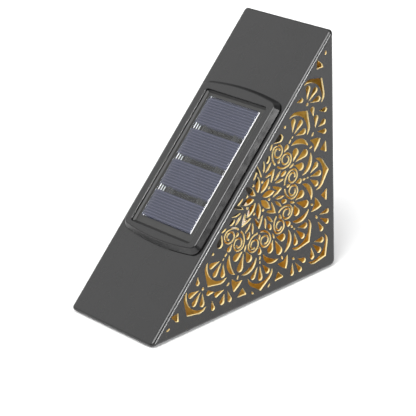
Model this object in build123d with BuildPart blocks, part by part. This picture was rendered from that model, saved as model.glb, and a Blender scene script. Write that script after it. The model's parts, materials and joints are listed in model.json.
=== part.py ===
from build123d import *
from math import asin, atan2, cos, degrees, pi, radians, sin, sqrt, tan
import os

# Solar step light: a 45 degree wedge of folded sheet with pierced sides.
# Millimetres. X runs across the light, Y from the toe to the back, Z up from the floor.
# The origin is on the floor, under the middle of the light.

# Wedge shell
width = 62.2
height = 129.2
slope_degrees = 45.0
sheet = 1.0
fold_radius = 2.0
tip_radius = 1.2
heel_radius = 3.5
edge_return = 4.0
lip_reach = 9.0
heel_reach = 6.0
screw_hole_diameter = 4.0
screw_hole_spacing = 60.0

# Feet
foot_height = 0.8
foot_diameter = 8.0
foot_side_inset = 9.0
foot_toe_inset = 20.0
foot_back_inset = 13.0

# Ornament, measured outward from the middle of the rosette. Pairs of numbers give the
# distance out along a motif's own spoke and the distance across it.
rosette_to_edge = 55.7
hole_border = 1.6
sectors = 8
corner_fillet = 0.35
petal_root = 2.7
petal_length = 8.8
petal_bulge = 1.7
dot_ring = 8.2
dot_radius = 0.8
chevron_wing = (10.2, 3.0)
chevron_shoulder = (10.7, 1.9)
chevron_notch = 13.4
chevron_tip = 16.9
chevron_bulge = 0.4
spray_root = (12.8, 0.6)
spray_tip = (18.7, 2.8)
spray_bulge = 0.8
pip_ring = 19.6
pip_length = 4.0
pip_width = 2.4
scroll_start = (18.7, 1.0)
scroll_slot = 1.0
# Each bend of the scroll by its radius and its turn in degrees
scroll_bends = [(7.1, -67), (3.45, -200), (2.6, -180), (1.75, -130)]
bud_root = 23.2
bud_crown = 20.0
bud_radius = 0.95
slit_ring = 25.9
slit_length = 3.4
slit_width = 1.2
bead_root = 26.4
bead_crown = 31.0
bead_radius = 1.4
seed_ring = 32.7
seed_length = 2.2
seed_width = 1.1
grain_ring = 35.3
grain_length = 1.5
grain_width = 0.8
tulip_root = 28.9
tulip_length = 9.6
tulip_radius = 2.15
tulip_side_root = (27.8, 1.2)
tulip_side_length = 7.0
tulip_side_radius = 2.1
tulip_splay = 47.0
crescent_start = (30.0, 9.9)
crescent_end = (39.9, 2.4)
crescent_bulge = 3.7
crescent_hollow = 0.9
stem_ring = 41.2
heart_lobe = (42.3, 3.9)
heart_notch = 43.5
heart_tip = 48.9
heart_bulge = 0.5
fan_root = 37.1
fan_length = 8.3
fan_radius = 1.6
fan_side_length = 7.3
fan_splay = 38.0
arch_gap = 1.2
arch_crown = 4.4
arch_horn = (41.3, 8.6)
arch_shoulder = (46.6, 6.4)
arch_bulge = 0.9
tier_step = 17.1
tier_offset = (10.8, 14.5)

# Ornament along the straight edges: each point as its distance in from the edge of the
# panel and its distance along it, from the spoke that meets the edge
tooth_corners = [(10.9, 12.6), (6.2, 10.0), (6.6, 16.7)]
edge_seed_turn = -55.0
# Each drop of a fan by its root, its crown and the radius of its round end
near_heel_seed = (14.4, 23.8)
near_heel_drops = [
    ((12.0, 23.2), (5.0, 22.7), 1.4),
    ((11.5, 25.2), (5.3, 29.5), 1.4),
    ((13.2, 26.8), (10.0, 32.9), 1.4),
]
near_tip_seed = (16.2, 22.4)
near_tip_drops = [
    ((12.8, 22.9), (6.2, 21.3), 1.4),
    ((12.0, 25.2), (6.7, 27.6), 1.6),
    ((14.2, 25.2), (13.3, 32.0), 1.5),
]
foot_seed = (5.4, 5.9)
foot_seed_turn = 45.0

# Ornament in the sharp corners, from the middle of the rosette
corner_drops = [
    ((40.2, 31.8), (39.3, 37.1), 1.4),
    ((44.3, 33.7), (50.1, 33.0), 1.3),
    ((28.3, 42.3), (33.1, 42.6), 1.25),
]
corner_dots = [(35.9, 39.4), (19.8, 31.8)]
block_corners = [(-61.0, -43.4), (-55.9, -43.0), (-56.1, -47.7), (-57.8, -47.2)]
corner_seed = (-63.0, -49.6)
corner_seed_turn = 20.0

# Lamp module, seen square to the slope
module_shift = 2.1
bezel_margin = 3.1
bezel_length = 92.0
bezel_bow = 2.6
bezel_corner = 5.0
bezel_draft = 2.0
bezel_height = 3.5
bezel_edge = 1.1
window_edge = 0.4
window_corner = 1.5
window_depth = 1.9
window_drop = 0.6
flange_side = 4.5
flange_end = 5.0
cutout_clearance = 0.2
skirt_wall = 1.5
seal_thickness = 0.7
seal_setback = 0.7
seat_thickness = 2.05

# Solar panel
panel_clearance = 0.2
solar_board_thickness = 1.6
cell_thickness = 0.25
cell_count = 4
cell_gap = 3.4
cell_side_margin = 4.1
cell_end_margin = 4.4
cell_rise = 0.85
ribbon_width = 1.2
ribbon_spacing = 22.0
glaze_thickness = 0.9
glaze_border = 0.6
glaze_edge = 0.25
sealant_width = 1.2
sealant_height = 0.7
sealant_lip = 0.1

# Spring clips that hold the module in the slope
notch_width = 8.4
notch_depth = 1.2
clip_clearance = 0.1
clip_sheet = 0.4
clip_gap = 0.1

# Housing under the slope
housing_step = 1.75
housing_length = 71.0
housing_depth = 16.0
housing_shift = -1.5
housing_wall = 1.6
housing_floor = 1.5
housing_corner = 3.0
housing_edge = 1.0
housing_seal_thickness = 0.5
post_diameter = 5.5
post_bite = 0.3
boss_depth = 6.0
screw_diameter = 2.0
screw_fit = 0.05
screw_clearance = 0.2
head_diameter = 3.8
head_height = 1.5
head_recess = 2.0
head_clearance = 0.2
head_edge = 0.5
cross_length = 2.3
cross_width = 0.55
cross_depth = 0.75

# Battery, its bay and door
battery_diameter = 10.5
battery_length = 44.5
battery_nub_diameter = 3.8
battery_nub_length = 0.8
battery_clearance = 0.4
battery_edge = 0.4
spring_length = 5.0
spring_turns = 4
spring_wire = 0.6
spring_diameter = 6.0
spring_relief = 0.2
contact_sheet = 0.4
contact_width = 8.0
bulkhead = 1.2
divider = 1.0
divider_height = 7.5
door_thickness = 1.5
door_seal_thickness = 0.6
door_overlap = 1.7
door_corner = 2.5
door_edge = 0.35

# Circuit board and what is on it
board_thickness = 1.2
board_rise = 3.75
board_clearance = 0.7
board_length = 46.0
board_post_diameter = 4.4
board_screw_diameter = 1.9
board_screw_length = 4.2
board_screw_inset = 3.0
chip_length = 5.0
chip_width = 4.0
chip_height = 1.6
inductor_diameter = 6.0
inductor_height = 5.0
inductor_edge = 0.5
capacitor_diameter = 5.0
capacitor_height = 7.0
capacitor_edge = 0.5
wire_diameter = 0.8
wire_inset = 2.5
wire_drift = 4.5
panel_wire_drop = 3.0
panel_wire_lift = 3.8
battery_wire_run = 2.8
battery_wire_lead = 3.4
battery_wire_lift = 3.6
bend_share = 0.45

# Slide switch
switch_length = 8.6
switch_width = 4.0
switch_height = 3.5
switch_travel = 2.0
switch_across = 2.5
switch_along = 14.5
knob_width = 2.4
knob_length = 3.0
knob_reach = 4.2
knob_clearance = 0.3
knob_edge = 0.3
running_fit = 0.1

# Lamp under the housing
lamp_gap = 1.45
lamp_down = 9.0
socket_diameter = 17.0
socket_depth = 10.0
socket_wall = 1.5
spigot_diameter = 13.0
spigot_height = 2.5
lead_hole_diameter = 4.0
led_diameter = 5.0
led_rim_diameter = 5.8
led_rim_height = 1.0
led_height = 8.6
led_round = 2.4
led_lead_diameter = 0.5
led_lead_pitch = 2.54
reflector_throat = 6.2
reflector_height = 6.0
reflector_wall = 0.7
dome_straight = 4.5
dome_wall = 1.2
dome_spigot = 2.0
lamp_clearance = 0.1

# Slope of the wedge and the planes that follow it. The rounded tips stop short of the
# sharp corners of the triangle by their reach.
slope_angle = radians(slope_degrees)
toe_reach = tip_radius / tan(slope_angle / 2) - tip_radius
top_reach = tip_radius / tan((pi / 2 - slope_angle) / 2) - tip_radius
depth = (height + top_reach) / tan(slope_angle) - toe_reach
base = foot_height
top = foot_height + height
toe = -depth / 2
back = depth / 2
sharp_toe = Vector(toe - toe_reach, base)
sharp_top = Vector(back, top + top_reach)
slope_up = Vector(0, cos(slope_angle), sin(slope_angle))
slope_out = Vector(0, -sin(slope_angle), cos(slope_angle))
slope_middle = Vector(0, (sharp_toe.X + sharp_top.X) / 2, (sharp_toe.Y + sharp_top.Y) / 2)
slope_axis = Axis((0, 0, 0), slope_out)
module_plane = Plane(slope_middle + slope_up * module_shift, x_dir=(1, 0, 0), z_dir=slope_out)
rosette_middle = Vector(back - rosette_to_edge, base + rosette_to_edge)
cover_width = width - 2 * edge_return

os.makedirs("parts", exist_ok=True)


def save(piece, name):
    piece.part.label = name
    export_step(piece.part, f"parts/{name}.step")


def level(rise):
    """The plane parallel to the slope, this far outside it."""
    return module_plane.offset(rise)


def spot(across, along, rise):
    """A point given across, up and out of the slope, from the middle of the module."""
    return module_plane.from_local_coords(Vector(across, along, rise))


# Section of the shell, in the plane of its sides
def wedge_outline():
    with BuildSketch() as outline:
        with BuildLine():
            Polyline(sharp_toe, (back, base), sharp_top, close=True)
        make_face()
        fillet(outline.vertices().group_by(Axis.X)[-1].sort_by(Axis.Y)[0], heel_radius)
        fillet([outline.vertices().sort_by(Axis.X)[0], outline.vertices().sort_by(Axis.Y)[-1]], tip_radius)
    return outline.sketch


def shell_section():
    """The sheet all round the wedge, as one closed band."""
    with BuildSketch() as band:
        add(wedge_outline())
        offset(wedge_outline(), amount=-sheet, mode=Mode.SUBTRACT)
    return band.sketch


def base_zone():
    with BuildSketch() as zone:
        with BuildLine():
            Polyline((toe + lip_reach, base), (back - heel_reach, base),
                     (back - heel_reach, base + 2 * sheet), (toe + lip_reach, base + 2 * sheet), close=True)
        make_face()
    return zone.sketch


def back_zone():
    with BuildSketch() as zone:
        with BuildLine():
            Polyline((back, base), (back, top - lip_reach), (back - 2 * sheet, top - lip_reach),
                     (back - heel_reach, base + heel_reach), (back - heel_reach, base), close=True)
        make_face()
    return zone.sketch


# Motifs of the ornament. Each is drawn with the middle of the rosette at the origin
# and its own spoke along the first axis.
def arm(radius, angle):
    return Vector(radius * cos(radians(angle)), radius * sin(radians(angle)))


def leaf(start, end, bulge):
    with BuildSketch() as shape:
        with BuildLine():
            SagittaArc(start, end, bulge)
            SagittaArc(end, start, bulge)
        make_face()
    return shape.sketch


def drop(root, crown, radius):
    """A teardrop, sharp at its root and round at its crown."""
    axis = Vector(*crown) - Vector(*root)
    span = axis.length - radius
    heading = degrees(atan2(axis.Y, axis.X))
    lean = degrees(asin(radius / span))
    reach = sqrt(span**2 - radius**2)
    left = Vector(*root) + arm(reach, heading + lean)
    right = Vector(*root) + arm(reach, heading - lean)
    with BuildSketch() as shape:
        with BuildLine():
            Line(root, left)
            ThreePointArc(left, crown, right)
            Line(right, root)
        make_face()
    return shape.sketch


def oval(middle, length, breadth, turn=0.0):
    with BuildSketch() as shape:
        with Locations(Location(middle, turn)):
            Ellipse(length / 2, breadth / 2)
    return shape.sketch


def on_spoke(ring):
    return Vector(ring, 0)


def chevron():
    with BuildSketch() as shape:
        with BuildLine():
            SagittaArc(chevron_wing, on_spoke(chevron_tip), chevron_bulge)
            Line(on_spoke(chevron_tip), on_spoke(chevron_notch))
            Line(on_spoke(chevron_notch), chevron_shoulder)
            Line(chevron_shoulder, chevron_wing)
        make_face()
        mirror(about=Plane.XZ)
    return shape.sketch


def scroll():
    """A slot of even width that winds in on itself through ever tighter arcs."""
    with BuildSketch() as shape:
        with BuildLine() as path:
            place, heading = Vector(*scroll_start), Vector(0, 1)
            for bend_radius, turn in scroll_bends:
                bend = JernArc(place, heading, bend_radius, turn)
                place, heading = bend @ 1, bend % 1
        trace(path.edges(), line_width=scroll_slot)
    return shape.sketch


def splayed_drop(root, length, radius, splay):
    """A drop that starts beside its spoke and leans away from it."""
    return drop(root, Vector(*root) + arm(length, splay), radius)


def crescent():
    """One side of the broken arch over the tulips."""
    with BuildSketch() as shape:
        with BuildLine():
            SagittaArc(crescent_start, crescent_end, crescent_bulge)
            SagittaArc(crescent_end, crescent_start, -crescent_hollow)
        make_face()
    return shape.sketch


def heart():
    with BuildSketch() as shape:
        with BuildLine():
            SagittaArc(heart_lobe, on_spoke(heart_tip), heart_bulge)
            Line(on_spoke(heart_tip), on_spoke(heart_notch))
            Line(on_spoke(heart_notch), heart_lobe)
        make_face()
        mirror(about=Plane.XZ)
    return shape.sketch


def arch():
    """A pointed arch over a fan of three drops: straight sides, round shoulders."""
    crest = on_spoke(fan_root + fan_length + arch_gap)
    tip = crest + on_spoke(arch_crown)
    other_horn = Vector(arch_horn[0], -arch_horn[1])
    with BuildSketch() as shape:
        with BuildLine():
            outside = [SagittaArc(arch_horn, arch_shoulder, arch_bulge), Line(arch_shoulder, tip)]
            mirror(outside, about=Plane.XZ)
            ThreePointArc(other_horn, crest, arch_horn)
        make_face()
    return shape.sketch


def beside_edge(place):
    """The point at this distance in from the edge and this far below the spoke that meets it."""
    inward, along = place
    return Vector(rosette_to_edge - inward, -along)


def cornered(corners):
    """A straight-sided hole with slightly rounded corners."""
    with BuildSketch() as shape:
        with BuildLine():
            Polyline(*corners, close=True)
        make_face()
        fillet(shape.vertices(), corner_fillet)
    return shape.sketch


def both_ways(shapes):
    """Each shape and its reflection in the spoke it lies beside."""
    return shapes + [shape.mirror(Plane.XZ) for shape in shapes]


# The fan and its arch, which come back once more towards each corner
arch_group = [
    drop(on_spoke(fan_root), on_spoke(fan_root + fan_length), fan_radius),
    arch(),
    *both_ways([splayed_drop((fan_root, fan_radius), fan_side_length, fan_radius, fan_splay)]),
]
spoke_holes = [
    leaf(on_spoke(petal_root), on_spoke(petal_root + petal_length), petal_bulge),
    chevron(),
    drop(on_spoke(bud_root), on_spoke(bud_crown), bud_radius),
    drop(on_spoke(bead_root), on_spoke(bead_crown), bead_radius),
    oval(on_spoke(seed_ring), seed_length, seed_width),
    oval(on_spoke(grain_ring), grain_length, grain_width),
    *both_ways([scroll()]),
    *arch_group,
]
gap_holes = [
    oval(on_spoke(dot_ring), 2 * dot_radius, 2 * dot_radius),
    oval(on_spoke(pip_ring), pip_length, pip_width),
    oval(on_spoke(slit_ring), slit_length, slit_width),
    drop(on_spoke(tulip_root), on_spoke(tulip_root + tulip_length), tulip_radius),
    oval(on_spoke(stem_ring), seed_length, seed_width),
    heart(),
    *both_ways([
        leaf(spray_root, spray_tip, spray_bulge),
        splayed_drop(tulip_side_root, tulip_side_length, tulip_side_radius, tulip_splay),
        crescent(),
    ]),
]


def beside_spoke(seed, drops):
    """The small holes along an edge on one side of the spoke that meets it."""
    return [
        cornered([beside_edge(corner) for corner in tooth_corners]),
        oval(beside_edge(seed), seed_length, seed_width, edge_seed_turn),
        *[drop(beside_edge(root), beside_edge(crown), radius) for root, crown, radius in drops],
    ]


# Small holes along the back edge: towards the heel below its spoke, towards the tip above it
edge_holes = beside_spoke(near_heel_seed, near_heel_drops)
edge_holes += [shape.mirror(Plane.XZ) for shape in beside_spoke(near_tip_seed, near_tip_drops)]
# Two small holes beside the lowest arch
foot_holes = both_ways([oval(beside_edge(foot_seed), seed_length, seed_width, foot_seed_turn)])
# Small holes that fill the sharp corners
corner_holes = [
    *[drop(root, crown, radius) for root, crown, radius in corner_drops],
    *[oval(place, 2 * dot_radius, 2 * dot_radius) for place in corner_dots],
    cornered(block_corners),
    oval(corner_seed, seed_length, seed_width, corner_seed_turn),
]


def turned(shapes, angle):
    return [shape.rotate(Axis.Z, angle) for shape in shapes]


def mirrored_over_heel(shapes):
    """Each shape and its reflection in the line from the rosette to the heel corner."""
    heel_line = Plane((0, 0, 0), x_dir=(1, -1, 0), z_dir=(1, 1, 0))
    return shapes + [shape.mirror(heel_line) for shape in shapes]


def clear_of_border(hole):
    """True when the whole outline of a hole keeps its distance from the panel's edges."""
    for edge in hole.edges():
        for step in range(5):
            point = edge @ (step / 4) + rosette_middle
            from_slope = (point.X - sharp_toe.X) * sin(slope_angle) - (point.Y - base) * cos(slope_angle)
            if min(from_slope, back - point.X, point.Y - base) < hole_border:
                return False
    return True


def ornament():
    holes = []
    for spoke in range(sectors):
        turn = 360 / sectors * spoke
        holes += turned(spoke_holes, turn)
        holes += turned(gap_holes, turn + 180 / sectors)
    corner_group = [hole.moved(Location((tier_step, 0))) for hole in arch_group]
    top_group = [hole.moved(Location(tier_offset)) for hole in turned(arch_group, 45)]
    holes += turned(corner_group, -45) + turned(foot_holes, -90)
    holes += mirrored_over_heel(top_group + edge_holes + corner_holes)
    return [hole.moved(Location(rosette_middle)) for hole in holes if clear_of_border(hole)]


# Pierced side panels: flat faces with a rounded rim all round
with BuildPart() as side_panel_right:
    with BuildSketch(Plane.YZ.offset(width / 2 - edge_return)):
        add(wedge_outline())
    extrude(amount=edge_return)
    fillet(side_panel_right.faces().sort_by(Axis.X)[-1].edges(), fold_radius)
    offset(amount=-sheet, openings=side_panel_right.faces().sort_by(Axis.X)[0])
    with BuildSketch(Plane.YZ.offset(width / 2)):
        add(ornament())
    extrude(amount=-2 * sheet, mode=Mode.SUBTRACT)
save(side_panel_right, "side_panel_right")

with BuildPart() as side_panel_left:
    mirror(side_panel_right.part, about=Plane.YZ)
save(side_panel_left, "side_panel_left")

# Module widths, worked inward from the edge of the slope
bezel_width = width - 2 * bezel_margin
cutout_width = bezel_width - 2 * flange_side
cutout_length = bezel_length - 2 * flange_end
skirt_width = cutout_width - 2 * cutout_clearance
skirt_length = cutout_length - 2 * cutout_clearance
pocket_width = skirt_width - 2 * skirt_wall
pocket_length = skirt_length - 2 * skirt_wall
panel_width = pocket_width - 2 * panel_clearance
panel_length = pocket_length - 2 * panel_clearance

# Module heights, worked down from the top of the bezel
solar_board_top = bezel_height - window_depth
cell_top = solar_board_top + cell_thickness
seat_top = solar_board_top - solar_board_thickness
bezel_bottom = seat_top - seat_thickness
housing_top = bezel_bottom - housing_seal_thickness
housing_bottom = housing_top - housing_depth
floor_top = housing_bottom + housing_floor


def bowed_outline(breadth, length, inset=0.0):
    """The outline of the bezel: straight sides, arched ends, round corners."""
    half_breadth = breadth / 2 - inset
    half_length = length / 2 - inset
    shoulder = half_length - bezel_bow
    with BuildSketch() as outline:
        with BuildLine():
            ThreePointArc((-half_breadth, shoulder), (0, half_length), (half_breadth, shoulder))
            Line((half_breadth, shoulder), (half_breadth, -shoulder))
            ThreePointArc((half_breadth, -shoulder), (0, -half_length), (-half_breadth, -shoulder))
            Line((-half_breadth, -shoulder), (-half_breadth, shoulder))
        make_face()
        fillet(outline.vertices(), bezel_corner - inset)
    return outline.sketch


def notch_spots(length):
    return [(0, length / 2), (0, -length / 2)]


# Slope cover, back panel and base plate: one closed band, cut at three seams
with BuildPart() as slope_cover:
    with BuildSketch(Plane.YZ.offset(-cover_width / 2)):
        add(shell_section())
        add(base_zone(), mode=Mode.SUBTRACT)
        add(back_zone(), mode=Mode.SUBTRACT)
    extrude(amount=cover_width)
    with BuildSketch(level(0)):
        RectangleRounded(cutout_width, cutout_length, window_corner + skirt_wall)
        with Locations(*notch_spots(cutout_length)):
            Rectangle(notch_width, 2 * notch_depth)
    extrude(amount=-2 * sheet, mode=Mode.SUBTRACT)
save(slope_cover, "slope_cover")

with BuildPart() as back_panel:
    with BuildSketch(Plane.YZ.offset(-cover_width / 2)):
        add(shell_section())
        add(back_zone(), mode=Mode.INTERSECT)
    extrude(amount=cover_width)
save(back_panel, "back_panel")

with BuildPart() as base_plate:
    with BuildSketch(Plane.YZ.offset(-cover_width / 2)):
        add(shell_section())
        add(base_zone(), mode=Mode.INTERSECT)
    extrude(amount=cover_width)
    with BuildSketch(Plane.XY.offset(base)):
        with GridLocations(0, screw_hole_spacing, 1, 2):
            Circle(screw_hole_diameter / 2)
    extrude(amount=sheet, mode=Mode.SUBTRACT)
save(base_plate, "base_plate")

with BuildPart() as rubber_feet:
    foot_across = width / 2 - foot_side_inset
    with BuildSketch(Plane.XY):
        with Locations(*[(side * foot_across, along) for side in (-1, 1)
                         for along in (toe + foot_toe_inset, back - foot_back_inset)]):
            Circle(foot_diameter / 2)
    extrude(amount=foot_height)
save(rubber_feet, "rubber_feet")

# Bezel: flange on the slope, window over the panel, skirt through the cut-out
housing_width = skirt_width - 2 * housing_step
housing_inner_width = housing_width - 2 * housing_wall
housing_inner_length = housing_length - 2 * housing_wall
post_across = (housing_inner_width - post_diameter) / 2 + post_bite
post_along = (housing_inner_length - post_diameter) / 2 + post_bite
post_spots = [(side * post_across, housing_shift + end * post_along) for side in (-1, 1) for end in (-1, 1)]
boss_diameter = post_diameter - 2 * post_bite
boss_bottom = bezel_bottom - boss_depth
board_width = housing_inner_width - battery_diameter - battery_clearance * 2 - divider - 2 * board_clearance
board_middle = (housing_inner_width - board_width) / 2 - board_clearance
board_bottom = floor_top + board_rise
board_top = board_bottom + board_thickness
wire_along = housing_shift + board_length / 2 - wire_inset
wire_spots = [(board_middle + side * 2 * wire_diameter, wire_along) for side in (-1, 1)]
window_spot = (0, -window_drop)
cell_spot = (0, cell_rise - window_drop)

with BuildPart() as bezel_frame:
    with BuildSketch(level(seal_thickness)):
        add(bowed_outline(bezel_width, bezel_length))
    with BuildSketch(level(bezel_height)):
        add(bowed_outline(bezel_width, bezel_length, bezel_draft))
    loft(ruled=True)
    fillet(bezel_frame.faces().sort_by(slope_axis)[-1].edges(), bezel_edge)
    with BuildSketch(level(bezel_bottom)):
        RectangleRounded(skirt_width, skirt_length, window_corner + skirt_wall)
    extrude(amount=seal_thickness - bezel_bottom)
    with BuildSketch(level(seat_top)):
        with Locations(window_spot):
            RectangleRounded(pocket_width, pocket_length, window_corner)
    extrude(amount=bezel_height - seat_top, mode=Mode.SUBTRACT)
    window_rim = bezel_frame.faces().sort_by(slope_axis)[-1].inner_wires()[0].edges()
    fillet(window_rim, window_edge)
    with BuildSketch(level(bezel_bottom)):
        with Locations(*post_spots):
            Circle(boss_diameter / 2)
    extrude(amount=-boss_depth)
    with BuildSketch(level(boss_bottom)):
        with Locations(*post_spots):
            Circle(screw_diameter / 2 + screw_fit)
    extrude(amount=boss_depth, mode=Mode.SUBTRACT)
    with BuildSketch(level(bezel_bottom)):
        for across, along in wire_spots:
            with Locations((across, along + wire_drift)):
                Circle(wire_diameter)
    extrude(amount=seat_thickness, mode=Mode.SUBTRACT)
save(bezel_frame, "bezel_frame")

with BuildPart() as bezel_seal:
    with BuildSketch(level(0)):
        add(bowed_outline(bezel_width, bezel_length, seal_setback))
        RectangleRounded(cutout_width, cutout_length, window_corner + skirt_wall, mode=Mode.SUBTRACT)
        with Locations(*notch_spots(cutout_length)):
            Rectangle(notch_width, 2 * notch_depth, mode=Mode.SUBTRACT)
    extrude(amount=seal_thickness)
save(bezel_seal, "bezel_seal")

# Solar panel, from the board up
with BuildPart() as solar_board:
    with BuildSketch(level(seat_top)):
        with Locations(window_spot):
            RectangleRounded(panel_width, panel_length, window_corner)
    extrude(amount=solar_board_thickness)
save(solar_board, "solar_board")

cell_width = panel_width - 2 * cell_side_margin
cell_field = panel_length - 2 * cell_end_margin
cell_pitch = (cell_field + cell_gap) / cell_count
cell_length = cell_pitch - cell_gap
with BuildPart() as solar_cells:
    with BuildSketch(level(solar_board_top)):
        with Locations(cell_spot):
            with GridLocations(0, cell_pitch, 1, cell_count):
                Rectangle(cell_width, cell_length)
    extrude(amount=cell_thickness)
save(solar_cells, "solar_cells")

# Two ribbons across each gap between the cells
with BuildPart() as cell_ribbons:
    with BuildSketch(level(solar_board_top)):
        with Locations(cell_spot):
            with GridLocations(ribbon_spacing, cell_pitch, 2, cell_count - 1):
                Rectangle(ribbon_width, cell_gap)
    extrude(amount=cell_thickness)
save(cell_ribbons, "cell_ribbons")

# Clear plate over the cells
with BuildPart() as panel_glaze:
    with BuildSketch(level(cell_top)):
        with Locations(cell_spot):
            Rectangle(cell_width + 2 * glaze_border, cell_field + 2 * glaze_border)
    extrude(amount=glaze_thickness)
    chamfer(panel_glaze.faces().sort_by(slope_axis)[-1].edges(), glaze_edge)
save(panel_glaze, "panel_glaze")

# Bead of sealant in the corner between the board and the walls of the window
with BuildPart() as panel_sealant:
    with BuildSketch(level(solar_board_top)):
        with Locations(window_spot):
            RectangleRounded(pocket_width, pocket_length, window_corner)
    extrude(amount=sealant_height)
    with BuildSketch(level(solar_board_top)):
        with Locations(window_spot):
            Rectangle(pocket_width - 2 * sealant_width, pocket_length - 2 * sealant_width)
    with BuildSketch(level(solar_board_top + sealant_height)):
        with Locations(window_spot):
            Rectangle(pocket_width - 2 * sealant_lip, pocket_length - 2 * sealant_lip)
    loft(ruled=True, mode=Mode.SUBTRACT)
save(panel_sealant, "panel_sealant")

# Leaf clips under the seat; their turned-up ends bear on the notches of the cut-out
clip_end = cutout_length / 2 + notch_depth - clip_clearance
clip_rise = -sheet / 2
clip_length = clip_end - housing_length / 2 - abs(housing_shift) - clip_gap
with BuildPart() as spring_clips:
    with BuildSketch(level(bezel_bottom - clip_sheet)):
        with Locations((0, clip_end - clip_length / 2), (0, clip_length / 2 - clip_end)):
            Rectangle(notch_width - 2 * clip_clearance, clip_length)
    extrude(amount=clip_sheet)
    with BuildSketch(level(bezel_bottom)):
        with Locations((0, clip_end - clip_sheet / 2), (0, clip_sheet / 2 - clip_end)):
            Rectangle(notch_width - 2 * clip_clearance, clip_sheet)
    extrude(amount=clip_rise - bezel_bottom)
save(spring_clips, "spring_clips")

# Battery bay, along the left wall of the housing
bay_width = battery_diameter + 2 * battery_clearance
bay_length = battery_length + spring_length + 2 * contact_sheet
bay_across = (bay_width - housing_inner_width) / 2
bay_top = housing_shift + bay_length / 2
bay_bottom = housing_shift - bay_length / 2
divider_across = bay_across + (bay_width + divider) / 2
door_screw_across = bay_across + battery_diameter / 4
door_screw_along = bay_length / 2 + bulkhead + post_diameter / 2 - post_bite
door_screw_spots = [(door_screw_across, housing_shift + end * door_screw_along) for end in (-1, 1)]
battery_rise = floor_top + battery_clearance + battery_diameter / 2
door_width = bay_width + 2 * door_overlap
lamp_across = bay_across + door_width / 2 + lamp_gap + socket_diameter / 2
lamp_spot = (lamp_across, -lamp_down)
switch_spot = (board_middle + switch_across, housing_shift + switch_along)
board_right = board_middle + board_width / 2 - board_screw_inset
board_left = board_middle - board_width / 2 + board_screw_inset
board_screw_spots = [(board_right, housing_shift - board_length / 2 + board_screw_inset),
                     (board_right, housing_shift + board_length / 2 - board_screw_inset),
                     (board_left, housing_shift + board_screw_inset)]

with BuildPart() as lamp_housing:
    with BuildSketch(level(housing_bottom)):
        with Locations((0, housing_shift)):
            RectangleRounded(housing_width, housing_length, housing_corner)
    extrude(amount=housing_depth)
    fillet(lamp_housing.faces().sort_by(slope_axis)[0].edges(), housing_edge)
    with BuildSketch(level(floor_top)):
        with Locations((0, housing_shift)):
            RectangleRounded(housing_inner_width, housing_inner_length, housing_corner - housing_wall)
    extrude(amount=housing_depth, mode=Mode.SUBTRACT)
    with BuildSketch(level(floor_top)):
        with Locations(*post_spots):
            Circle(post_diameter / 2)
    extrude(amount=boss_bottom - floor_top)
    with BuildSketch(level(floor_top)):
        with Locations((divider_across, housing_shift)):
            Rectangle(divider, bay_length + 2 * bulkhead)
        with Locations((bay_across, bay_top + bulkhead / 2), (bay_across, bay_bottom - bulkhead / 2)):
            Rectangle(bay_width, bulkhead)
        with Locations(*door_screw_spots):
            Circle(post_diameter / 2)
    extrude(amount=divider_height)
    with BuildSketch(level(floor_top)):
        with Locations(*board_screw_spots):
            Circle(board_post_diameter / 2)
    extrude(amount=board_rise)
    with BuildSketch(level(housing_bottom)):
        with Locations((bay_across, housing_shift)):
            Rectangle(bay_width, bay_length)
        with Locations(lamp_spot):
            Circle(spigot_diameter / 2 + lamp_clearance)
        with Locations(switch_spot):
            Rectangle(knob_width + 2 * knob_clearance, knob_length + switch_travel + 2 * knob_clearance)
    extrude(amount=housing_floor, mode=Mode.SUBTRACT)
    with BuildSketch(level(housing_bottom)):
        with Locations(*post_spots):
            Circle(screw_diameter / 2 + screw_clearance)
        with Locations(*door_screw_spots):
            Circle(screw_diameter / 2 + screw_fit)
    extrude(amount=housing_depth, mode=Mode.SUBTRACT)
    with BuildSketch(level(housing_bottom)):
        with Locations(*post_spots):
            Circle(head_diameter / 2 + head_clearance)
    extrude(amount=head_recess, mode=Mode.SUBTRACT)
    with BuildSketch(level(board_bottom)):
        with Locations(*board_screw_spots):
            Circle(board_screw_diameter / 2 + screw_fit)
    extrude(amount=-board_rise, mode=Mode.SUBTRACT)
save(lamp_housing, "lamp_housing")

with BuildPart() as housing_seal:
    with BuildSketch(level(housing_top)):
        with Locations((0, housing_shift)):
            RectangleRounded(housing_width, housing_length, housing_corner)
            RectangleRounded(housing_inner_width, housing_inner_length, housing_corner - housing_wall,
                             mode=Mode.SUBTRACT)
    extrude(amount=housing_seal_thickness)
save(housing_seal, "housing_seal")


def screws(spots, seat, diameter, length, name):
    """Pan-head screws that point along the slope's outward normal when length is positive."""
    facing = 1 if length > 0 else -1
    with BuildPart() as group:
        with BuildSketch(level(seat)):
            with Locations(*spots):
                Circle(head_diameter / 2)
        extrude(amount=-facing * head_height)
        fillet(group.faces().sort_by(slope_axis, reverse=facing < 0)[:len(spots)].edges(), head_edge)
        with BuildSketch(level(seat)):
            with Locations(*spots):
                Circle(diameter / 2)
        extrude(amount=length)
        with BuildSketch(level(seat - facing * head_height)):
            with Locations(*spots):
                Rectangle(cross_length, cross_width)
                Rectangle(cross_width, cross_length)
        extrude(amount=facing * cross_depth, mode=Mode.SUBTRACT)
    save(group, name)


housing_screw_seat = housing_bottom + head_recess
housing_screw_length = bezel_bottom - housing_screw_seat - sheet
screws(post_spots, housing_screw_seat, screw_diameter, housing_screw_length, "housing_screws")

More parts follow.
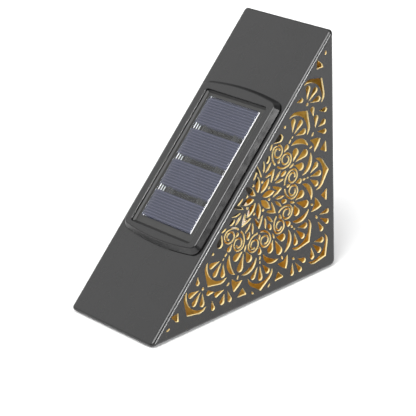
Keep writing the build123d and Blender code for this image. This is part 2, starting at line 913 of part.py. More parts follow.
# Battery door with its seal and screws
door_length = 2 * door_screw_along + head_diameter + door_overlap
door_top = housing_bottom - door_seal_thickness
door_bottom = door_top - door_thickness
with BuildPart() as battery_door:
    with BuildSketch(level(door_bottom)):
        with Locations((bay_across, housing_shift)):
            RectangleRounded(door_width, door_length, door_corner)
        with Locations(*door_screw_spots):
            Circle(screw_diameter / 2 + screw_clearance, mode=Mode.SUBTRACT)
    extrude(amount=door_thickness)
    fillet(battery_door.faces().sort_by(slope_axis)[0].outer_wire().edges(), door_edge)
save(battery_door, "battery_door")

with BuildPart() as door_seal:
    with BuildSketch(level(door_top)):
        with Locations((bay_across, housing_shift)):
            RectangleRounded(door_width, door_length, door_corner)
            Rectangle(bay_width, bay_length, mode=Mode.SUBTRACT)
        with Locations(*door_screw_spots):
            Circle(screw_diameter / 2 + screw_clearance, mode=Mode.SUBTRACT)
    extrude(amount=door_seal_thickness)
save(door_seal, "door_seal")

screws(door_screw_spots, door_bottom, screw_diameter, door_thickness + door_seal_thickness + boss_depth,
       "door_screws")

# Battery and its contacts
battery_plus = bay_top - contact_sheet
battery_minus = battery_plus - battery_length
along_slope = Plane(spot(bay_across, battery_minus, battery_rise), x_dir=(1, 0, 0), z_dir=slope_up)
with BuildPart() as battery_cell:
    with BuildSketch(along_slope):
        Circle(battery_diameter / 2)
    extrude(amount=battery_length - battery_nub_length)
    fillet(battery_cell.edges().filter_by(GeomType.CIRCLE), battery_edge)
    with BuildSketch(along_slope.offset(battery_length - battery_nub_length)):
        Circle(battery_nub_diameter / 2)
    extrude(amount=battery_nub_length)
save(battery_cell, "battery_cell")

contact_height = battery_diameter - 2 * battery_clearance
contact_rise = battery_rise + battery_clearance
contact_spots = [bay_top - contact_sheet / 2, bay_bottom + contact_sheet / 2]
with BuildPart() as battery_contacts:
    for along in contact_spots:
        with BuildSketch(level(contact_rise - contact_height / 2)):
            with Locations((bay_across, along)):
                Rectangle(contact_width, contact_sheet)
        extrude(amount=contact_height)
save(battery_contacts, "battery_contacts")

spring_free = battery_minus - bay_bottom - contact_sheet
coil_height = spring_free - spring_wire - spring_relief
coil_plane = along_slope.offset(-spring_free + spring_wire / 2)
coil_radius = (spring_diameter - spring_wire) / 2
with BuildPart() as battery_spring:
    with BuildLine():
        coil = Helix(pitch=coil_height / spring_turns, height=coil_height, radius=coil_radius,
                     center=coil_plane.origin, direction=slope_up)
    with BuildSketch(Plane(coil @ 0, z_dir=coil % 0)):
        Circle(spring_wire / 2)
    sweep(is_frenet=True)
save(battery_spring, "battery_spring")

# Circuit board, its parts and screws
with BuildPart() as circuit_board:
    with BuildSketch(level(board_bottom)):
        with Locations((board_middle, housing_shift)):
            Rectangle(board_width, board_length)
        with Locations(*board_screw_spots):
            Circle(board_screw_diameter / 2 + screw_clearance, mode=Mode.SUBTRACT)
    extrude(amount=board_thickness)
save(circuit_board, "circuit_board")

screws(board_screw_spots, board_top, board_screw_diameter, -board_screw_length, "board_screws")

chip_spot = (board_middle, housing_shift - board_length / 8)
inductor_spot = (board_middle + board_width / 5, housing_shift - board_length / 4)
capacitor_spot = (board_middle + board_width / 5, housing_shift + board_length / 8)
with BuildPart() as control_chip:
    with BuildSketch(level(board_top)):
        with Locations(chip_spot):
            Rectangle(chip_width, chip_length)
    extrude(amount=chip_height)
save(control_chip, "control_chip")

with BuildPart() as inductor:
    with BuildSketch(level(board_top)):
        with Locations(inductor_spot):
            Circle(inductor_diameter / 2)
    extrude(amount=inductor_height)
    fillet(inductor.edges().filter_by(GeomType.CIRCLE).sort_by(slope_axis)[-1], inductor_edge)
save(inductor, "inductor")

with BuildPart() as capacitor:
    with BuildSketch(level(board_top)):
        with Locations(capacitor_spot):
            Circle(capacitor_diameter / 2)
    extrude(amount=capacitor_height)
    fillet(capacitor.edges().filter_by(GeomType.CIRCLE).sort_by(slope_axis)[-1], capacitor_edge)
save(capacitor, "capacitor")

# Slide switch, hung under the board, with its knob through the floor
switch_bottom = board_bottom - switch_height
with BuildPart() as switch_body:
    with BuildSketch(level(switch_bottom)):
        with Locations(switch_spot):
            Rectangle(switch_width, switch_length)
    extrude(amount=switch_height)
save(switch_body, "switch_body")

knob_off = (switch_spot[0], switch_spot[1] - switch_travel / 2)
with BuildPart() as switch_knob:
    with BuildSketch(level(switch_bottom - running_fit)):
        with Locations(knob_off):
            Rectangle(knob_width, knob_length)
    extrude(amount=-knob_reach)
    fillet(switch_knob.faces().sort_by(slope_axis)[0].edges(), knob_edge)
save(switch_knob, "switch_knob")

# Lamp: socket, light-emitting diode, reflector and dome
socket_bottom = housing_bottom - socket_depth
web_bottom = housing_bottom - socket_wall
socket_bore = socket_diameter / 2 - socket_wall
lamp_axis = Axis(spot(*lamp_spot, 0), slope_out)
lamp_plane = Plane(spot(*lamp_spot, 0), x_dir=(1, 0, 0), z_dir=-slope_up)
with BuildPart() as lamp_socket:
    with BuildSketch(lamp_plane):
        with BuildLine():
            Polyline((lead_hole_diameter / 2, web_bottom), (socket_bore, web_bottom),
                     (socket_bore, socket_bottom), (socket_diameter / 2, socket_bottom),
                     (socket_diameter / 2, housing_bottom), (spigot_diameter / 2, housing_bottom),
                     (spigot_diameter / 2, housing_bottom + spigot_height),
                     (lead_hole_diameter / 2, housing_bottom + spigot_height), close=True)
        make_face()
    revolve(axis=lamp_axis)
save(lamp_socket, "lamp_socket")

led_tip = web_bottom - led_height
with BuildPart() as led:
    with BuildSketch(level(web_bottom)):
        with Locations(lamp_spot):
            Circle(led_rim_diameter / 2)
    extrude(amount=-led_rim_height)
    with BuildSketch(level(web_bottom)):
        with Locations(lamp_spot):
            Circle(led_diameter / 2)
    extrude(amount=-led_height)
    fillet(led.edges().filter_by(GeomType.CIRCLE).sort_by(slope_axis)[0], led_round)
save(led, "led")

lead_spots = [(lamp_across + side * led_lead_pitch / 2, -lamp_down) for side in (-1, 1)]
with BuildPart() as led_leads:
    with BuildSketch(level(web_bottom)):
        with Locations(*lead_spots):
            Circle(led_lead_diameter / 2)
    extrude(amount=board_bottom - web_bottom)
save(led_leads, "led_leads")

reflector_bottom = web_bottom - reflector_height
reflector_mouth = socket_bore - lamp_clearance
with BuildPart() as lamp_reflector:
    with BuildSketch(lamp_plane):
        with BuildLine():
            Polyline((reflector_throat / 2, web_bottom),
                     (reflector_throat / 2 + reflector_wall, web_bottom),
                     (reflector_mouth, reflector_bottom),
                     (reflector_mouth - reflector_wall, reflector_bottom), close=True)
        make_face()
    revolve(axis=lamp_axis)
save(lamp_reflector, "lamp_reflector")

dome_radius = socket_diameter / 2
dome_middle = socket_bottom - dome_straight
dome_inner_radius = dome_radius - dome_wall
spigot_outer = socket_bore - lamp_clearance
spigot_inner = spigot_outer - dome_wall
spigot_top = socket_bottom + dome_spigot
with BuildPart() as lamp_dome:
    with BuildSketch(lamp_plane):
        with BuildLine():
            Polyline((spigot_inner, spigot_top), (spigot_outer, spigot_top), (spigot_outer, socket_bottom),
                     (dome_radius, socket_bottom), (dome_radius, dome_middle))
            CenterArc((0, dome_middle), dome_radius, -90, 90)
            Line((0, dome_middle - dome_radius), (0, dome_middle - dome_inner_radius))
            CenterArc((0, dome_middle), dome_inner_radius, -90, 90)
            Polyline((dome_inner_radius, dome_middle), (dome_inner_radius, socket_bottom - dome_wall),
                     (spigot_inner, socket_bottom - dome_wall), (spigot_inner, spigot_top))
        make_face()
    revolve(axis=lamp_axis)
save(lamp_dome, "lamp_dome")


# Wires: straight runs joined by arcs as large as the runs allow
def wire(points, name):
    corners = [spot(*point) for point in points]
    runs = [after - before for before, after in zip(corners, corners[1:])]
    radii = []
    for before, after in zip(runs, runs[1:]):
        half_turn = radians(before.get_angle(after)) / 2
        radii.append(bend_share * min(before.length, after.length) / tan(half_turn))
    print(name, "bend radii", [round(radius, 2) for radius in radii])
    with BuildPart() as cable:
        with BuildLine():
            FilletPolyline(*corners, radius=radii)
        with BuildSketch(Plane(corners[0], z_dir=runs[0])):
            Circle(wire_diameter / 2)
        sweep()
    save(cable, name)


for name, (across, along) in zip(("panel_wire_red", "panel_wire_black"), wire_spots):
    wire([(across, along + wire_drift, seat_top),
          (across, along + wire_drift, bezel_bottom - panel_wire_drop),
          (across, along, board_top + panel_wire_lift),
          (across, along, board_top)], name)

contact_edge = bay_across + contact_width / 2
wire_rise = contact_rise + contact_height / 2 - wire_diameter
landing = board_middle - board_width / 2 + 3 * wire_diameter
for name, along, inward in zip(("battery_wire_red", "battery_wire_black"), contact_spots, (-1, 1)):
    landing_along = along + inward * battery_wire_lead
    wire([(contact_edge, along, wire_rise),
          (landing - battery_wire_run, along, wire_rise),
          (landing, landing_along, board_top + battery_wire_lift),
          (landing, landing_along, board_top)], name)
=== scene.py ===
import json
from math import cos, pi, radians, sin

import bmesh
import bpy
from bpy.props import FloatProperty, FloatVectorProperty, PointerProperty
from bpy.types import NodeSocket, Operator, Panel, PropertyGroup
from mathutils import Matrix, Vector


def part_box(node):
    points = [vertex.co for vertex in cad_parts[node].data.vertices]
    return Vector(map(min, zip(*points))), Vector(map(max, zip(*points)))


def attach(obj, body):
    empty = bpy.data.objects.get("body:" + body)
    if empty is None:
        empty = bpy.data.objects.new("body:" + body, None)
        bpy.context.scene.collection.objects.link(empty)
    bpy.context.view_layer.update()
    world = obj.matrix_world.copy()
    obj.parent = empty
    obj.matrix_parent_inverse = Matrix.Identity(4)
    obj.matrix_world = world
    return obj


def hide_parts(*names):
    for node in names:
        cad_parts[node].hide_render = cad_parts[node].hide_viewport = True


bl_info = {
    "name": "Solar Step Light",
    "version": (1, 0, 0),
    "blender": (4, 5, 0),
    "location": "View3D > Sidebar > Step Light",
    "description": "Finishes a wedge-shaped solar step light and sets up its studio",
    "category": "Object",
}

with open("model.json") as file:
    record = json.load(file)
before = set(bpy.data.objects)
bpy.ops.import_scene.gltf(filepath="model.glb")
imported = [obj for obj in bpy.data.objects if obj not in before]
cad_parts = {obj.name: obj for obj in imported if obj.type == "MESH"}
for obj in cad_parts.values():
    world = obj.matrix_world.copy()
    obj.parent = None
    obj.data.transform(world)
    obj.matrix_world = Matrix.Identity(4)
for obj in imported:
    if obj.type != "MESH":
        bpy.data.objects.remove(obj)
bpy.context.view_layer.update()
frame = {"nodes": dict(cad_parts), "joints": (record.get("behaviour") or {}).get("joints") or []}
MM = 0.001


def joint_axis(name):
    return next(Vector(joint["axis"]).normalized() for joint in frame["joints"] if joint["name"] == name)


def span(node, direction):
    """Lowest and highest reach of a node's vertices along a direction, in metres."""
    reach = [vertex.co.dot(direction) for vertex in frame["nodes"][node].data.vertices]
    return min(reach), max(reach)


def cell_ends():
    """Where the cells start and end along the slope, from the lowest up."""
    least_step = 0.5 * MM
    reach = sorted(vertex.co.dot(UP) for vertex in frame["nodes"]["solar_cells"].data.vertices)
    return [reach[0]] + [after for before, after in zip(reach, reach[1:]) if after - before > least_step]


# The slope's own directions, and the planes that bound the wedge
OUT = joint_axis("module_lift")
UP = joint_axis("switch_slide")
ACROSS = Vector((1, 0, 0))
HALF_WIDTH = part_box("side_panel_right")[1][0]
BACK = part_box("side_panel_right")[1][1]
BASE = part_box("side_panel_right")[0][2]
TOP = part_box("side_panel_right")[1][2]
SLOPE = span("slope_cover", OUT)[1]
SHELL = ("side_panel_left", "side_panel_right", "slope_cover", "back_panel", "base_plate")

# Noise runs from about the first of these to the second, and seldom further
NOISE_LOW = 0.35
NOISE_HIGH = 0.65

# Patches of uneven gloss are this many times as wide as the grain
GLOSS_PATCH = 12

# Studio: where the lights stand or come from, in metres, and how far the soft ones spread, in degrees
FLOOR_REACH = 4.0
LIT_POINT = (0.0, 0.0, 0.06)
STRIP_PLACE = (1.18, 0.05, 0.28)
STRIP_SIZE = (0.05, 0.8)
KEY_FROM = (0.25, -0.55, 0.80)
KEY_SPREAD = 35
FILL_FROM = (-0.69, -0.38, 0.62)
FILL_SPREAD = 50

# The surround's brightness falls between these, measured across it from -1 to 1
FALL_START = -0.1
FALL_END = 0.6


def middle_of(node):
    low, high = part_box(node)
    return (Vector(low) + Vector(high)) / 2


def piece(name, build, body):
    """A mesh piece that moves with a CAD body."""
    mesh = bpy.data.meshes.new(name)
    form = bmesh.new()
    build(form)
    form.normal_update()
    form.to_mesh(mesh)
    form.free()
    made = bpy.data.objects.new(name, mesh)
    bpy.context.scene.collection.objects.link(made)
    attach(made, body)
    return made


def loop(form, centre, breadth, length, corner, rise, steps=5):
    """Vertices of a rounded rectangle parallel to the slope, this far out from its centre."""
    vertices = []
    for turn, (side, end) in enumerate(((1, 1), (-1, 1), (-1, -1), (1, -1))):
        for step in range(steps + 1):
            angle = pi / 2 * (turn + step / steps)
            across = side * (breadth / 2 - corner) + corner * cos(angle)
            along = end * (length / 2 - corner) + corner * sin(angle)
            vertices.append(form.verts.new(centre + ACROSS * across + UP * along + OUT * rise))
    return vertices


def bridge(form, lower, upper):
    """Faces between two loops of as many vertices."""
    count = len(lower)
    for here in range(count):
        after = (here + 1) % count
        form.faces.new((lower[here], lower[after], upper[after], upper[here]))


class Finish:
    """A material in the making: one Principled shader and the nodes that feed it."""

    def __init__(self, name, colour, roughness, metallic=0.0, **sockets):
        self.material = bpy.data.materials.new(name)
        self.material.use_nodes = True
        self.tree = self.material.node_tree
        self.shader = self.tree.nodes["Principled BSDF"]
        self.coordinates = self.node("TexCoord")
        self.feed("Base Color", (*colour[:3], 1.0))
        self.feed("Roughness", roughness)
        self.feed("Metallic", metallic)
        for socket, value in sockets.items():
            self.feed(socket.replace("_", " "), value)

    def node(self, kind, **settings):
        made = self.tree.nodes.new("ShaderNode" + kind)
        for setting, value in settings.items():
            setattr(made, setting, value)
        return made

    def join(self, source, target):
        """Links an output to an input, or sets the input to a plain value."""
        if isinstance(source, NodeSocket):
            self.tree.links.new(source, target)
        else:
            target.default_value = source

    def feed(self, socket, source):
        self.join(source, self.shader.inputs[socket])

    @property
    def place(self):
        return self.coordinates.outputs["Object"]

    @property
    def facing(self):
        return self.coordinates.outputs["Normal"]

    def math(self, operation, *operands):
        step = self.node("Math", operation=operation)
        for operand, socket in zip(operands, step.inputs):
            self.join(operand, socket)
        return step.outputs["Value"]

    def dot(self, vector, direction):
        """Dot product of an output with a direction or another output."""
        step = self.node("VectorMath", operation="DOT_PRODUCT")
        self.join(vector, step.inputs[0])
        self.join(direction if isinstance(direction, NodeSocket) else tuple(direction), step.inputs[1])
        return step.outputs["Value"]

    def away_from(self, point):
        """Vector from a point to the place that is shaded."""
        step = self.node("VectorMath", operation="SUBTRACT")
        self.join(self.place, step.inputs[0])
        self.join(tuple(point), step.inputs[1])
        return step.outputs["Vector"]

    def least(self, *values):
        result = values[0]
        for value in values[1:]:
            result = self.math("MINIMUM", result, value)
        return result

    def both(self, *masks):
        result = masks[0]
        for mask in masks[1:]:
            result = self.math("MULTIPLY", result, mask)
        return result

    def noise(self, size, detail=2.0, stretch=(1, 1, 1)):
        """Cloudy noise with features of about this size, stretched along the axes."""
        mapping = self.node("Mapping")
        self.join(self.place, mapping.inputs["Vector"])
        mapping.inputs["Scale"].default_value = [1 / (size * pull) for pull in stretch]
        texture = self.node("TexNoise")
        self.join(mapping.outputs["Vector"], texture.inputs["Vector"])
        self.join(1.0, texture.inputs["Scale"])
        self.join(detail, texture.inputs["Detail"])
        return texture.outputs["Fac"]

    def ramp(self, value, low, high, start=0.0, end=1.0):
        """A value scaled so that low gives start and high gives end, clamped between."""
        step = self.node("MapRange", clamp=True)
        for source, socket in zip((value, low, high, start, end), step.inputs):
            self.join(source, socket)
        return step.outputs["Result"]

    def patches(self, size, start=0.0, end=1.0):
        """Soft patches of about this size, that run from one value to another."""
        return self.ramp(self.noise(size), NOISE_LOW, NOISE_HIGH, start, end)

    def blend(self, factor, first, second):
        """A colour between two colours."""
        step = self.node("Mix", data_type="RGBA", clamp_factor=True)
        self.join(factor, step.inputs["Factor"])
        for colour, socket in ((first, step.inputs[6]), (second, step.inputs[7])):
            self.join(colour if isinstance(colour, NodeSocket) else (*colour[:3], 1.0), socket)
        return step.outputs[2]

    def bump(self, height, depth):
        step = self.node("Bump")
        self.join(height, step.inputs["Height"])
        self.join(1.0, step.inputs["Strength"])
        self.join(depth, step.inputs["Distance"])
        self.feed("Normal", step.outputs["Normal"])

    def grain(self, size, depth, roughness, spread):
        """Fine moulded or sprayed grain: a little relief and uneven gloss."""
        self.bump(self.noise(size, detail=3.0), depth)
        self.feed("Roughness", self.patches(size * GLOSS_PATCH, roughness - spread, roughness + spread))

    def mottle(self, colour, size, share):
        """The colour, a little lighter and darker in patches."""
        light = [channel * (1 + share) for channel in colour]
        dark = [channel * (1 - share) for channel in colour]
        return self.blend(self.patches(size), dark, light)

    def coat(self, *nodes):
        """Puts the material on CAD nodes, given by name, or on mesh pieces."""
        for node in nodes:
            target = frame["nodes"][node] if isinstance(node, str) else node
            target.data.materials.clear()
            target.data.materials.append(self.material)


def grained(name, colour, roughness, nodes, grain, depth, spread, patch=None, share=0.0, metallic=0.0,
            **sockets):
    """Coats nodes with a grained material, which is mottled where a patch size is given."""
    finish = Finish(name, colour, roughness, metallic, **sockets)
    if patch:
        finish.feed("Base Color", finish.mottle(colour, patch, share))
    finish.grain(grain, depth, roughness, spread)
    finish.coat(*nodes)
    return finish


def colour_property(name, description, default):
    return FloatVectorProperty(name=name, description=description, default=default, size=3, min=0.0,
                               max=1.0, subtype="COLOR")


def length_property(name, description, default):
    return FloatProperty(name=name, description=description, default=default, min=0.0, unit="LENGTH",
                         subtype="DISTANCE", precision=5)


def share_property(name, description, default):
    return FloatProperty(name=name, description=description, default=default, min=0.0, max=1.0,
                         subtype="FACTOR")


def number_property(name, description, default):
    return FloatProperty(name=name, description=description, default=default, min=0.0)


def angle_property(name, description, degrees):
    return FloatProperty(name=name, description=description, default=radians(degrees), subtype="ANGLE",
                         unit="ROTATION")


class ShellSettings(PropertyGroup):
    coat_colour: colour_property(
        "Coat colour", "Powder coat on the outside of the shell", (0.006, 0.006, 0.0062))
    coat_roughness: share_property("Coat roughness", "Roughness of the powder coat", 0.26)
    coat_spread: share_property("Coat spread", "How far the powder coat's roughness varies", 0.03)
    peel_size: length_property("Orange peel size", "Width of the ripples in the powder coat", 0.9 * MM)
    peel_depth: length_property("Orange peel depth", "Height of the ripples in the coat", 0.006 * MM)
    lining_colour: colour_property(
        "Lining colour", "Gold enamel on the inside of the shell", (0.88, 0.60, 0.13))
    lining_roughness: share_property("Lining roughness", "Roughness of the gold enamel", 0.34)
    lining_spread: share_property("Lining spread", "How far the gold enamel's roughness varies", 0.05)
    lining_metal: share_property("Lining metal", "Metallic share of the gold enamel", 0.6)
    # Painted highlight: the hole walls get a paler, lighter copy of the gold enamel, standing in for the
    # bright slivers that light makes on them.
    cut_highlight_colour: colour_property(
        "Cut edge colour", "Gold enamel on the walls of the holes", (0.96, 0.80, 0.42))
    hole_depth: length_property("Hole depth", "Sheet of the side panels, and a little over", 1.05 * MM)
    plain_border: length_property("Plain border", "Border of the side panels without holes", 2.2 * MM)
    rubber_colour: colour_property(
        "Feet colour", "Rubber of the feet and seals", (0.012, 0.012, 0.012))


class ModuleSettings(PropertyGroup):
    plastic_colour: colour_property("Plastic colour", "Moulded bezel and housing", (0.005, 0.005, 0.0053))
    plastic_roughness: share_property("Bezel roughness", "Roughness of the bezel", 0.22)
    housing_roughness: share_property("Housing roughness", "Roughness of the housing and door", 0.5)
    backing_colour: colour_property("Backing colour", "Board behind the cells", (0.016, 0.016, 0.015))
    silicon_colour: colour_property("Cell colour", "Silicon between the fingers", (0.010, 0.013, 0.040))
    finger_colour: colour_property("Finger colour", "Printed fingers on the cells", (0.075, 0.080, 0.125))
    finger_count: number_property("Fingers per cell", "Printed fingers across each cell", 10)
    finger_share: share_property("Finger share", "Width of a finger as a share of its step", 0.36)
    plate_ease: length_property("Plate ease", "Eased edge of the clear plate", 0.25 * MM)
    plate_lift: length_property("Plate lift", "Room between the clear plate and the cells", 0.02 * MM)
    plate_index: number_property("Plate index", "Refractive index of the clear plate", 1.5)
    # Painted glint: the white colour and the glow of the plate's right edge stand in for the strip
    # light's reflection there.
    plate_glint_colour: colour_property(
        "Plate edge colour", "Ground right edge of the clear plate", (0.93, 0.94, 0.94))
    painted_glint_glow: number_property(
        "Plate edge glow", "Light that the plate carries to its ground edge", 0.9)
    sealant_colour: colour_property("Sealant colour", "Bead round the solar panel", (0.010, 0.010, 0.010))


class StudioSettings(PropertyGroup):
    floor_colour: colour_property("Floor colour", "Pale floor", (0.93, 0.93, 0.93))
    left_strength: number_property("Surround at the left", "Brightness of the surround at the left", 0.55)
    right_strength: number_property(
        "Surround at the right", "Brightness of the surround at the right", 0.14)
    strip_power: number_property("Strip light power", "Tall narrow light at the right, in watts", 20.0)
    key_strength: number_property("Key light strength", "Soft light high in front", 3.1)
    fill_strength: number_property("Fill light strength", "Broad light at the front left", 0.62)
    azimuth: angle_property("Azimuth", "Camera turned from the front towards the right", 47.955)
    elevation: angle_property("Elevation", "Camera above the horizon", 22.110)
    distance: length_property("Distance", "Camera to the point it is aimed from", 0.8615)
    lens: FloatProperty(name="Lens", description="Focal length of the camera", default=148.43, min=1.0,
                        unit="CAMERA")
    swing: angle_property("Swing", "Camera turned off the aim, about its upright", -0.158)
    tilt: angle_property("Tilt", "Camera turned off the aim, about its level axis", 1.261)
    roll: angle_property("Roll", "Camera turned about its line of sight", -2.370)
    aim: FloatVectorProperty(name="Aim", description="Point that the camera is set round", size=3,
                             default=(0.000575, -0.0004, 0.0658), subtype="TRANSLATION", unit="LENGTH")


class STEPLIGHT_OT_coat_shell(Operator):
    """Coat the folded shell: satin black outside, gold enamel inside"""
    bl_idname = "step_light.coat_shell"
    bl_label = "Coat Shell"

    def inside(self, finish):
        """Mask for the faces that look towards the middle of the wedge."""
        middle = (0, BACK / 3, TOP / 3)
        return finish.math("LESS_THAN", finish.dot(finish.away_from(middle), finish.facing), 0.0)

    def hole_wall(self, finish, settings):
        """Mask for the walls of the holes, which lie in the side sheets and clear of their borders."""
        from_middle = finish.math("ABSOLUTE", finish.dot(finish.place, ACROSS))
        to_side = finish.math("SUBTRACT", HALF_WIDTH, from_middle)
        to_slope = finish.math("SUBTRACT", SLOPE, finish.dot(finish.place, OUT))
        to_back = finish.math("SUBTRACT", BACK, finish.dot(finish.place, (0, 1, 0)))
        to_base = finish.math("SUBTRACT", finish.dot(finish.place, (0, 0, 1)), BASE)
        sideways = finish.math("ABSOLUTE", finish.dot(finish.facing, ACROSS))
        return finish.both(
            finish.math("LESS_THAN", to_side, settings.hole_depth),
            finish.math("GREATER_THAN", finish.least(to_slope, to_back, to_base), settings.plain_border),
            finish.math("LESS_THAN", sideways, 0.5))

    def execute(self, context):
        settings = context.scene.step_light_shell
        finish = Finish("shell_coat", settings.coat_colour, settings.coat_roughness)
        hole_wall = self.hole_wall(finish, settings)
        gold = finish.math("MAXIMUM", self.inside(finish), hole_wall)
        lining = finish.mottle(settings.lining_colour, 9 * MM, 0.08)
        # Painted highlight: the hole walls take the paler cut colour, a lit copy of the gold enamel.
        gold_and_cut_highlight = finish.blend(hole_wall, lining, settings.cut_highlight_colour)
        black = finish.mottle(settings.coat_colour, 14 * MM, 0.05)
        finish.feed("Base Color", finish.blend(gold, black, gold_and_cut_highlight))
        enamelled = finish.math("SUBTRACT", gold, hole_wall)
        finish.feed("Metallic", finish.math("MULTIPLY", enamelled, settings.lining_metal))
        rough_coat, rough_gold = (
            finish.patches(11 * MM, roughness - spread, roughness + spread) for roughness, spread in (
                (settings.coat_roughness, settings.coat_spread),
                (settings.lining_roughness, settings.lining_spread)))
        step = finish.math("MULTIPLY", finish.math("SUBTRACT", rough_gold, rough_coat), gold)
        finish.feed("Roughness", finish.math("ADD", rough_coat, step))
        finish.bump(finish.noise(settings.peel_size), settings.peel_depth)
        finish.coat(*SHELL)
        return {"FINISHED"}


class STEPLIGHT_OT_finish_rubber(Operator):
    """Give the feet and seals their rubber"""
    bl_idname = "step_light.finish_rubber"
    bl_label = "Finish Rubber"

    def execute(self, context):
        colour = context.scene.step_light_shell.rubber_colour
        rubber = ("rubber_feet", "bezel_seal", "housing_seal", "door_seal")
        grained("black_rubber", colour, 0.72, rubber, grain=0.25 * MM, depth=0.004 * MM, spread=0.06,
                patch=3 * MM, share=0.15)
        return {"FINISHED"}


class STEPLIGHT_OT_finish_mouldings(Operator):
    """Give the bezel, housing, door and lamp socket their moulded plastic"""
    bl_idname = "step_light.finish_mouldings"
    bl_label = "Finish Mouldings"

    def execute(self, context):
        settings = context.scene.step_light_module
        grained("bezel_plastic", settings.plastic_colour, settings.plastic_roughness, ("bezel_frame",),
                grain=0.3 * MM, depth=0.0015 * MM, spread=0.03, patch=10 * MM, share=0.05)
        hidden = ("lamp_housing", "battery_door", "lamp_socket")
        grained("housing_plastic", settings.plastic_colour, settings.housing_roughness, hidden,
                grain=0.35 * MM, depth=0.01 * MM, spread=0.06, patch=10 * MM, share=0.08)
        return {"FINISHED"}


class STEPLIGHT_OT_finish_panel(Operator):
    """Finish the solar panel: backing, printed cells, clear plate and sealant"""
    bl_idname = "step_light.finish_panel"
    bl_label = "Finish Solar Panel"

    def backing(self, settings):
        grained("panel_backing", settings.backing_colour, 0.34, ("solar_board", "cell_ribbons"),
                grain=2.5 * MM, depth=0.004 * MM, spread=0.04, patch=5 * MM, share=0.12)

    def cells(self, settings):
        """Blue silicon with level printed fingers, here and there a little worn."""
        finish = Finish("silicon_blue", settings.silicon_colour, 0.3)
        ends = cell_ends()
        length = ends[1] - ends[0]
        pitch = ends[2] - ends[0]
        along = finish.math("SUBTRACT", finish.dot(finish.place, UP), ends[0])
        in_cell = finish.math("MODULO", along, pitch)
        phase = finish.math("FRACT", finish.math("MULTIPLY", in_cell, settings.finger_count / length))
        from_finger = finish.math("ABSOLUTE", finish.math("SUBTRACT", phase, 0.5))
        edge_blur = 0.15 * settings.finger_share
        edge = settings.finger_share / 2
        finger = finish.ramp(from_finger, edge + edge_blur, edge - edge_blur)
        worn = finish.ramp(finish.noise(12 * MM), 0.3, 0.7, 0.8, 1.0)
        silicon = finish.mottle(settings.silicon_colour, 6 * MM, 0.1)
        printed = finish.math("MULTIPLY", finger, worn)
        finish.feed("Base Color", finish.blend(printed, silicon, settings.finger_colour))
        finish.coat("solar_cells")

    def glass(self, settings):
        """The plate with its eased edges, a hair above the cells."""
        spans = (span("panel_glaze", way) for way in (ACROSS, UP, OUT))
        breadth, length, depth = (high - low for low, high in spans)
        ease = settings.plate_ease
        profile = (
            (0.0, settings.plate_lift - depth / 2),
            (0.0, depth / 2 - ease),
            (ease / 3, depth / 2 - ease / 3),
            (ease, depth / 2),
        )

        def build(form):
            centre = middle_of("panel_glaze")
            rings = [loop(form, centre, breadth - 2 * inset, length - 2 * inset, ease, rise)
                     for inset, rise in profile]
            for lower, upper in zip(rings, rings[1:]):
                bridge(form, lower, upper)
            form.faces.new(rings[-1])
            form.faces.new(reversed(rings[0]))

        plate = piece("glaze_plate", build, "solar_module")
        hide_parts("panel_glaze")
        return plate

    def plate(self, settings):
        """Clear on its broad face; its right edge is painted white and made to glow, a painted glint of
        the strip light.
        """
        finish = Finish("clear_glaze", settings.plate_glint_colour, 0.04)
        sideways = finish.math("ABSOLUTE", finish.dot(finish.facing, ACROSS))
        right_end = span("panel_glaze", ACROSS)[1] - 0.3 * MM
        at_right = finish.math("GREATER_THAN", finish.dot(finish.place, ACROSS), right_end)
        # Painted glint: only the right side face is turned white and glowing. This stands in for the
        # strip light's reflection, not for a ground edge.
        edge = finish.both(finish.math("GREATER_THAN", sideways, 0.9), at_right)
        finish.feed("Metallic", finish.math("SUBTRACT", 1.0, edge))
        finish.feed("Roughness", finish.ramp(edge, 0.0, 1.0, 0.04, 0.5))
        finish.feed("Emission Color", (1.0, 1.0, 1.0, 1.0))
        finish.feed("Emission Strength", finish.math("MULTIPLY", edge, settings.painted_glint_glow))
        clear = finish.node("BsdfTransparent")
        finish.join((0.97, 0.98, 1.0, 1.0), clear.inputs["Color"])
        sheen = finish.node("Fresnel")
        finish.join(settings.plate_index, sheen.inputs["IOR"])
        mix = finish.node("MixShader")
        finish.join(finish.math("MAXIMUM", sheen.outputs["Fac"], edge), mix.inputs["Fac"])
        finish.join(clear.outputs["BSDF"], mix.inputs[1])
        finish.join(finish.shader.outputs["BSDF"], mix.inputs[2])
        output = finish.tree.nodes["Material Output"]
        finish.join(mix.outputs["Shader"], output.inputs["Surface"])
        finish.coat(self.glass(settings))

    def sealant(self, settings):
        """A dark bead with a slightly uneven skin."""
        finish = Finish("grey_sealant", settings.sealant_colour, 0.5)
        finish.feed("Base Color", finish.mottle(settings.sealant_colour, 4 * MM, 0.1))
        finish.bump(finish.noise(3 * MM), 0.03 * MM)
        finish.coat("panel_sealant")

    def execute(self, context):
        settings = context.scene.step_light_module
        self.backing(settings)
        self.cells(settings)
        self.plate(settings)
        self.sealant(settings)
        return {"FINISHED"}


class STEPLIGHT_OT_finish_metal(Operator):
    """Give the screws, clips, leads, contacts and spring their plated steel"""
    bl_idname = "step_light.finish_metal"
    bl_label = "Finish Metal"

    def execute(self, context):
        plated = ("housing_screws", "spring_clips", "board_screws", "led_leads", "battery_contacts",
                  "battery_spring", "door_screws")
        grained("plain_steel", (0.55, 0.55, 0.54), 0.3, plated, metallic=1.0,
                grain=0.12 * MM, depth=0.003 * MM, spread=0.08, patch=1.5 * MM, share=0.12)
        return {"FINISHED"}


